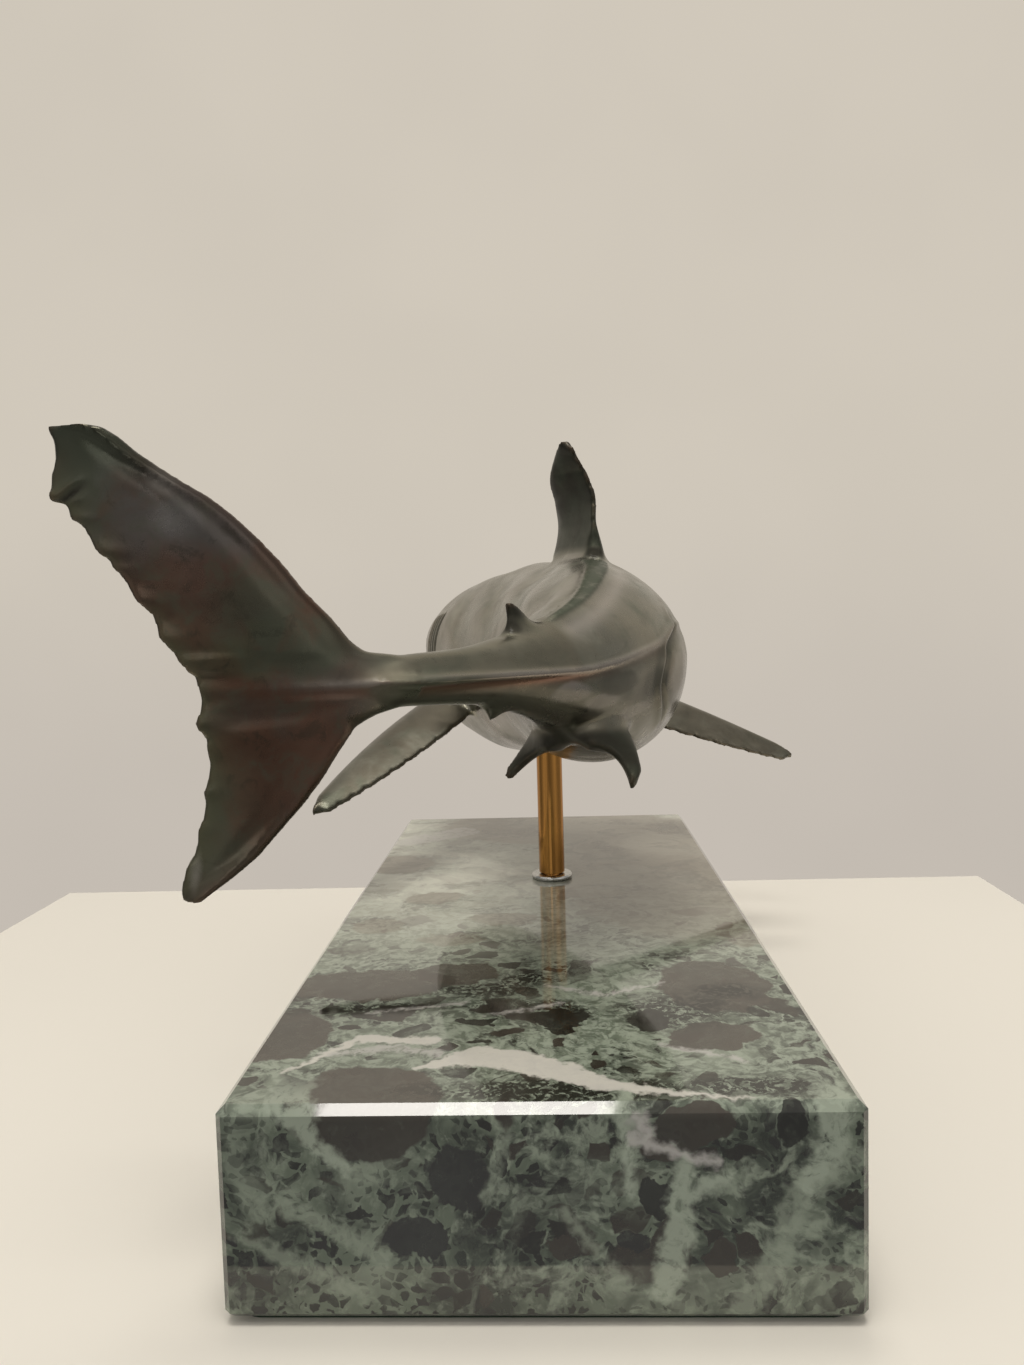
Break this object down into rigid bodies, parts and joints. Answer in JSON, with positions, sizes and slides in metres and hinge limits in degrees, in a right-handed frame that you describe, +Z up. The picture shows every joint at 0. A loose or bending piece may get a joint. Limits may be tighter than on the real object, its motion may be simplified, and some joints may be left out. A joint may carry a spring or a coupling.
{
  "type": "shark sculpture",
  "caption": "Bronze shark figure swimming in a C-shaped bend, held on a polished brass rod over a polished green marble block.",
  "frame": {"origin": "middle of the underside of the foot felt, which is the middle of the base in plan", "axes": "+Z up. +Y along the base block's long side, towards the shark's head. +X to the right seen from behind the shark, which is the outside of its bend."},
  "size_m": [0.2188, 0.3437, 0.2157],
  "materials": {
    "bronze_patina": "dark green-grey patina over cast bronze, satin",
    "polished_bronze": "darkened bronze, polished",
    "polished_brass": "polished",
    "bright_steel": "bright zinc-plated",
    "green_marble": "polished green marble with pale veins",
    "green_felt": "short pile"
  },
  "bodies": {
    "root": {"anal_fin": "bronze_patina", "base_felt": "green_felt", "body_casting": "bronze_patina", "caudal_fin": "bronze_patina", "clamp_nut": "bright_steel", "clamp_washer": "bright_steel", "dorsal_fin": "bronze_patina", "foot_washer": "bright_steel", "left_eye": "polished_bronze", "left_pectoral_fin": "bronze_patina", "left_pelvic_fin": "bronze_patina", "marble_base": "green_marble", "mounting_boss": "polished_brass", "right_eye": "polished_bronze", "right_pectoral_fin": "bronze_patina", "right_pelvic_fin": "bronze_patina", "second_dorsal_fin": "bronze_patina", "support_rod": "polished_brass"}
  },
  "joints": []
}
